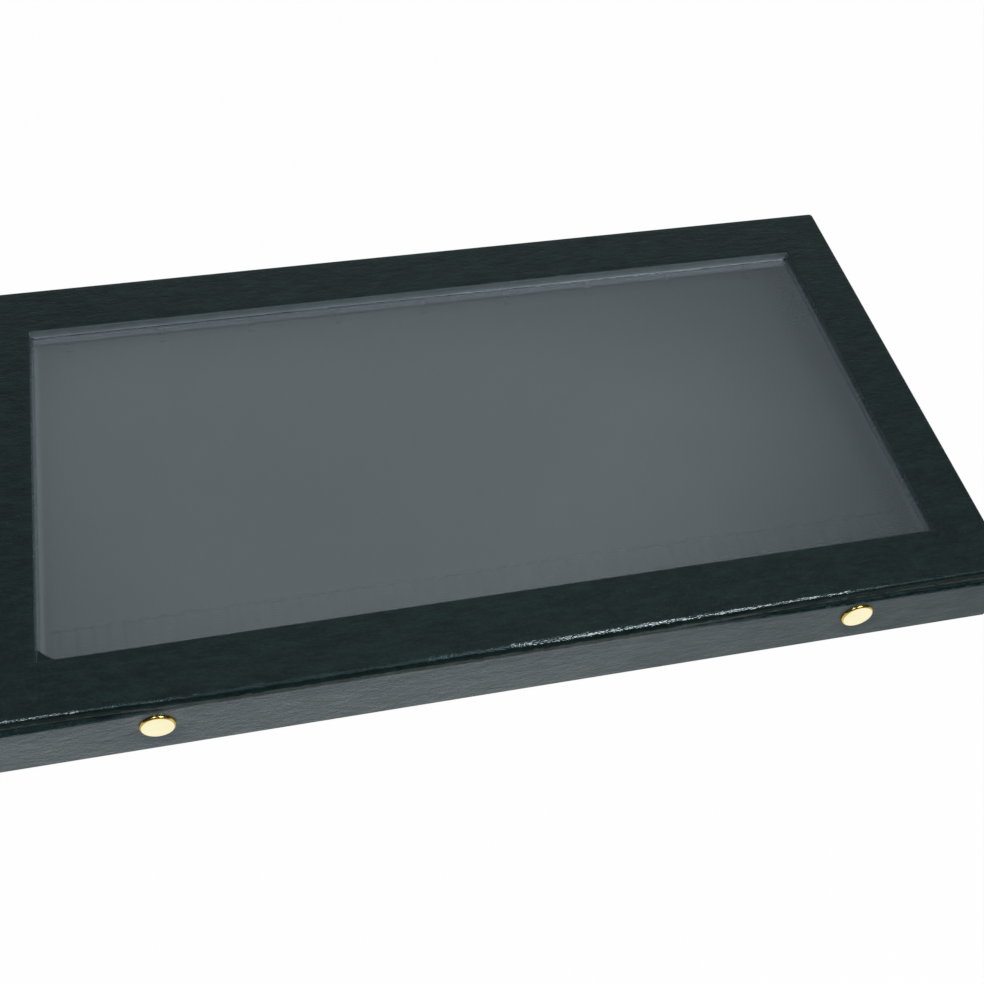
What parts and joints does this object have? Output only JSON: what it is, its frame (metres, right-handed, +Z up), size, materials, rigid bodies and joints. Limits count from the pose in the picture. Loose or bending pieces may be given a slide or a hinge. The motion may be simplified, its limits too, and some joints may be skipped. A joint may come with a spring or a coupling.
{
  "type": "necklace display box",
  "caption": "Shallow leatherette display box for necklaces, with a hinged glass-topped lid, a snap-down front flap and a velvet pad inside.",
  "frame": {"origin": "on the table, under the middle of the closed box's outline, snap caps included", "axes": "+X to the right along the length, +Y to the hinged back, +Z up; the snap flap faces -Y"},
  "size_m": [0.3746, 0.2112, 0.0302],
  "materials": {
    "leatherette": "pebble grain, satin",
    "velvet": "short pile",
    "pad_velvet": "short pile",
    "base_cloth": "fine grain, matt",
    "wood_frame": "raw",
    "board": "raw fibreboard",
    "foam": "open cell",
    "elastic": "knitted, gathered",
    "black_wire": "satin black",
    "brass": "plain",
    "polished_brass": "polished",
    "spring_wire": "plain",
    "glass": "clear, polished"
  },
  "bodies": {
    "tray": {"tray_front_wall": "wood_frame", "tray_back_wall": "wood_frame", "tray_left_wall": "wood_frame", "tray_right_wall": "wood_frame", "tray_bottom_board": "board", "tray_base_panel": "base_cloth", "tray_cover": "leatherette", "tray_lining": "velvet", "pad_board": "board", "pad_foam": "foam", "pad_cover": "pad_velvet", "necklace_hooks": "black_wire", "chain_pouch": "elastic", "snap_studs": "brass", "snap_stud_rivets": "brass", "hinge_spine": "leatherette"},
    "lid": {"lid_front_rail": "wood_frame", "lid_back_rail": "wood_frame", "lid_left_rail": "wood_frame", "lid_right_rail": "wood_frame", "lid_cover": "leatherette", "lid_lining": "velvet", "glass_pane": "glass"},
    "flap": {"flap_board": "board", "flap_lining": "velvet", "flap_cover": "leatherette", "flap_hinge": "leatherette", "snap_caps": "polished_brass", "snap_sockets": "brass", "snap_springs": "spring_wire"}
  },
  "joints": [
    {"name": "lid_turn", "type": "hinge", "parent": "tray", "child": "lid", "pos_m": [0, 0.10572, 0.0237], "axis": [-1, 0, 0], "range_deg": [0, 180], "deforming": ["hinge_spine"]},
    {"name": "flap_turn", "type": "hinge", "parent": "lid", "child": "flap", "pos_m": [0, -0.10412, 0.0231], "axis": [-1, 0, 0], "range_deg": [0, 125], "deforming": ["flap_hinge"]}
  ]
}
